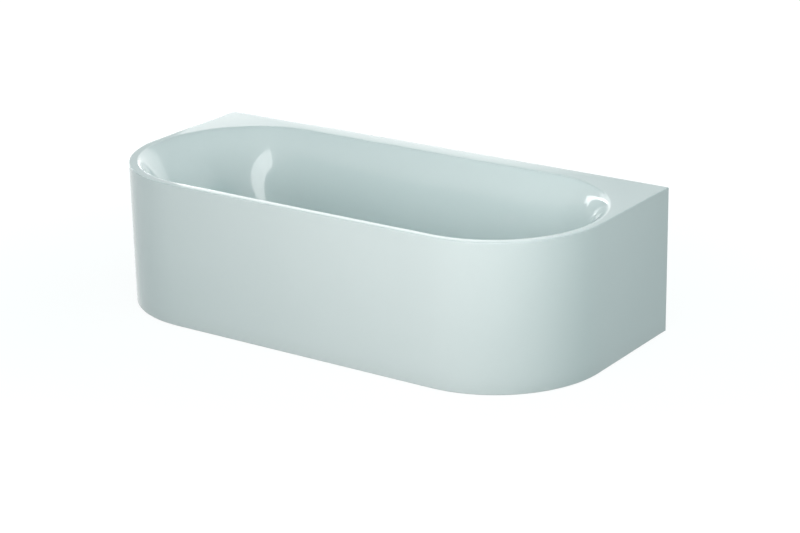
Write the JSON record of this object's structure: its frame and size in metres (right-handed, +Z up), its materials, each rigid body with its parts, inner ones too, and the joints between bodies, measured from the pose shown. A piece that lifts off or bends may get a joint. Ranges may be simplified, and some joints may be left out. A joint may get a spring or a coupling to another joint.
{
  "type": "back-to-wall bath",
  "caption": "Back-to-wall bath: an oval bowl in a D-shaped enamelled deck and apron, on adjustable feet, with a pop-up waste, a rotary overflow control and a drum trap.",
  "frame": {"origin": "on the floor, under the middle of the bath's outline in plan", "axes": "+X along the bath to its right end, +Y towards the wall, +Z up"},
  "size_m": [1.85, 0.85, 0.515],
  "materials": {
    "white_enamel": "gloss",
    "zinc_steel": "galvanised",
    "chrome": "polished",
    "brass": "satin",
    "black_plastic": "satin",
    "white_plastic": "satin",
    "grey_plastic": "satin",
    "seal_rubber": "matt",
    "bitumen": "matt"
  },
  "bodies": {
    "bath": {"bath_shell": "white_enamel", "apron": "white_enamel", "bearer_left": "zinc_steel", "bearer_right": "zinc_steel", "front_stay_left": "zinc_steel", "front_stay_right": "zinc_steel", "end_stay_left": "zinc_steel", "end_stay_right": "zinc_steel", "wall_anchor_left": "zinc_steel", "wall_anchor_right": "zinc_steel", "earth_tag": "zinc_steel", "stay_bolts": "zinc_steel", "stay_nuts": "zinc_steel", "hose_clamps": "zinc_steel", "overflow_plate": "zinc_steel", "overflow_screws": "zinc_steel", "cable_ferrule": "zinc_steel", "waste_flange": "chrome", "waste_body": "black_plastic", "overflow_body": "black_plastic", "overflow_elbow": "black_plastic", "control_cable": "black_plastic", "cable_clips": "black_plastic", "trap_drum": "white_plastic", "trap_cap": "white_plastic", "union_nut": "white_plastic", "outlet_pipe": "white_plastic", "overflow_hose": "grey_plastic", "waste_seal_upper": "seal_rubber", "waste_seal_lower": "seal_rubber", "lever_seal": "seal_rubber", "overflow_seal": "seal_rubber", "trap_cap_seal": "seal_rubber", "union_seal": "seal_rubber", "outlet_seal": "seal_rubber", "bearer_pads": "seal_rubber", "damping_mats": "bitumen"},
    "overflow_control": {"overflow_knob": "chrome", "knob_spindle": "brass"},
    "lever": {"lift_lever": "zinc_steel"},
    "plug": {"popup_plug": "chrome", "plug_seal": "seal_rubber"},
    "wire": {"pull_wire": "zinc_steel"},
    "foot_front_left": {"foot_pad_front_left": "black_plastic", "foot_rod_front_left": "zinc_steel"},
    "nuts_front_left": {"foot_nuts_front_left": "zinc_steel"},
    "foot_rear_left": {"foot_pad_rear_left": "black_plastic", "foot_rod_rear_left": "zinc_steel"},
    "nuts_rear_left": {"foot_nuts_rear_left": "zinc_steel"},
    "foot_front_right": {"foot_pad_front_right": "black_plastic", "foot_rod_front_right": "zinc_steel"},
    "nuts_front_right": {"foot_nuts_front_right": "zinc_steel"},
    "foot_rear_right": {"foot_pad_rear_right": "black_plastic", "foot_rod_rear_right": "zinc_steel"},
    "nuts_rear_right": {"foot_nuts_rear_right": "zinc_steel"}
  },
  "joints": [
    {"name": "overflow_turn", "type": "hinge", "parent": "bath", "child": "overflow_control", "pos_m": [0, -0.35577, 0.385], "axis": [0, 0.9703, 0.2419], "range_deg": [0, 90]},
    {"name": "lever_turn", "type": "hinge", "parent": "bath", "child": "lever", "pos_m": [0, -0.152, 0.058], "axis": [1, 0, 0], "range_deg": [0, 30]},
    {"name": "plug_lift", "type": "slide", "parent": "bath", "child": "plug", "axis": [0, 0, 1], "range_m": [0, 0.00935]},
    {"name": "wire_pull", "type": "slide", "parent": "bath", "child": "wire", "axis": [0, -1, 0], "range_m": [0, 0.00935]},
    {"name": "foot_front_left_extend", "type": "slide", "parent": "bath", "child": "foot_front_left", "axis": [0, 0, -1], "range_m": [0, 0.015]},
    {"name": "nuts_front_left_turn", "type": "hinge", "parent": "bath", "child": "nuts_front_left", "pos_m": [-0.38, -0.189, 0.056], "axis": [0, 0, 1], "range_deg": [0, 3090]},
    {"name": "foot_rear_left_extend", "type": "slide", "parent": "bath", "child": "foot_rear_left", "axis": [0, 0, -1], "range_m": [0, 0.015]},
    {"name": "nuts_rear_left_turn", "type": "hinge", "parent": "bath", "child": "nuts_rear_left", "pos_m": [-0.38, 0.151, 0.056], "axis": [0, 0, 1], "range_deg": [0, 3090]},
    {"name": "foot_front_right_extend", "type": "slide", "parent": "bath", "child": "foot_front_right", "axis": [0, 0, -1], "range_m": [0, 0.015]},
    {"name": "nuts_front_right_turn", "type": "hinge", "parent": "bath", "child": "nuts_front_right", "pos_m": [0.38, -0.189, 0.056], "axis": [0, 0, 1], "range_deg": [0, 3090]},
    {"name": "foot_rear_right_extend", "type": "slide", "parent": "bath", "child": "foot_rear_right", "axis": [0, 0, -1], "range_m": [0, 0.015]},
    {"name": "nuts_rear_right_turn", "type": "hinge", "parent": "bath", "child": "nuts_rear_right", "pos_m": [0.38, 0.151, 0.056], "axis": [0, 0, 1], "range_deg": [0, 3090]}
  ],
  "couplings": [
    {"joint": "lever_turn", "follows": "overflow_turn", "ratio": 0.33333},
    {"joint": "plug_lift", "follows": "overflow_turn", "m_per_rad": 0.0059317},
    {"joint": "wire_pull", "follows": "overflow_turn", "m_per_rad": 0.0059317},
    {"joint": "nuts_front_left_turn", "follows": "foot_front_left_extend", "rad_per_m": 3590.4},
    {"joint": "nuts_rear_left_turn", "follows": "foot_rear_left_extend", "rad_per_m": 3590.4},
    {"joint": "nuts_front_right_turn", "follows": "foot_front_right_extend", "rad_per_m": 3590.4},
    {"joint": "nuts_rear_right_turn", "follows": "foot_rear_right_extend", "rad_per_m": 3590.4}
  ]
}
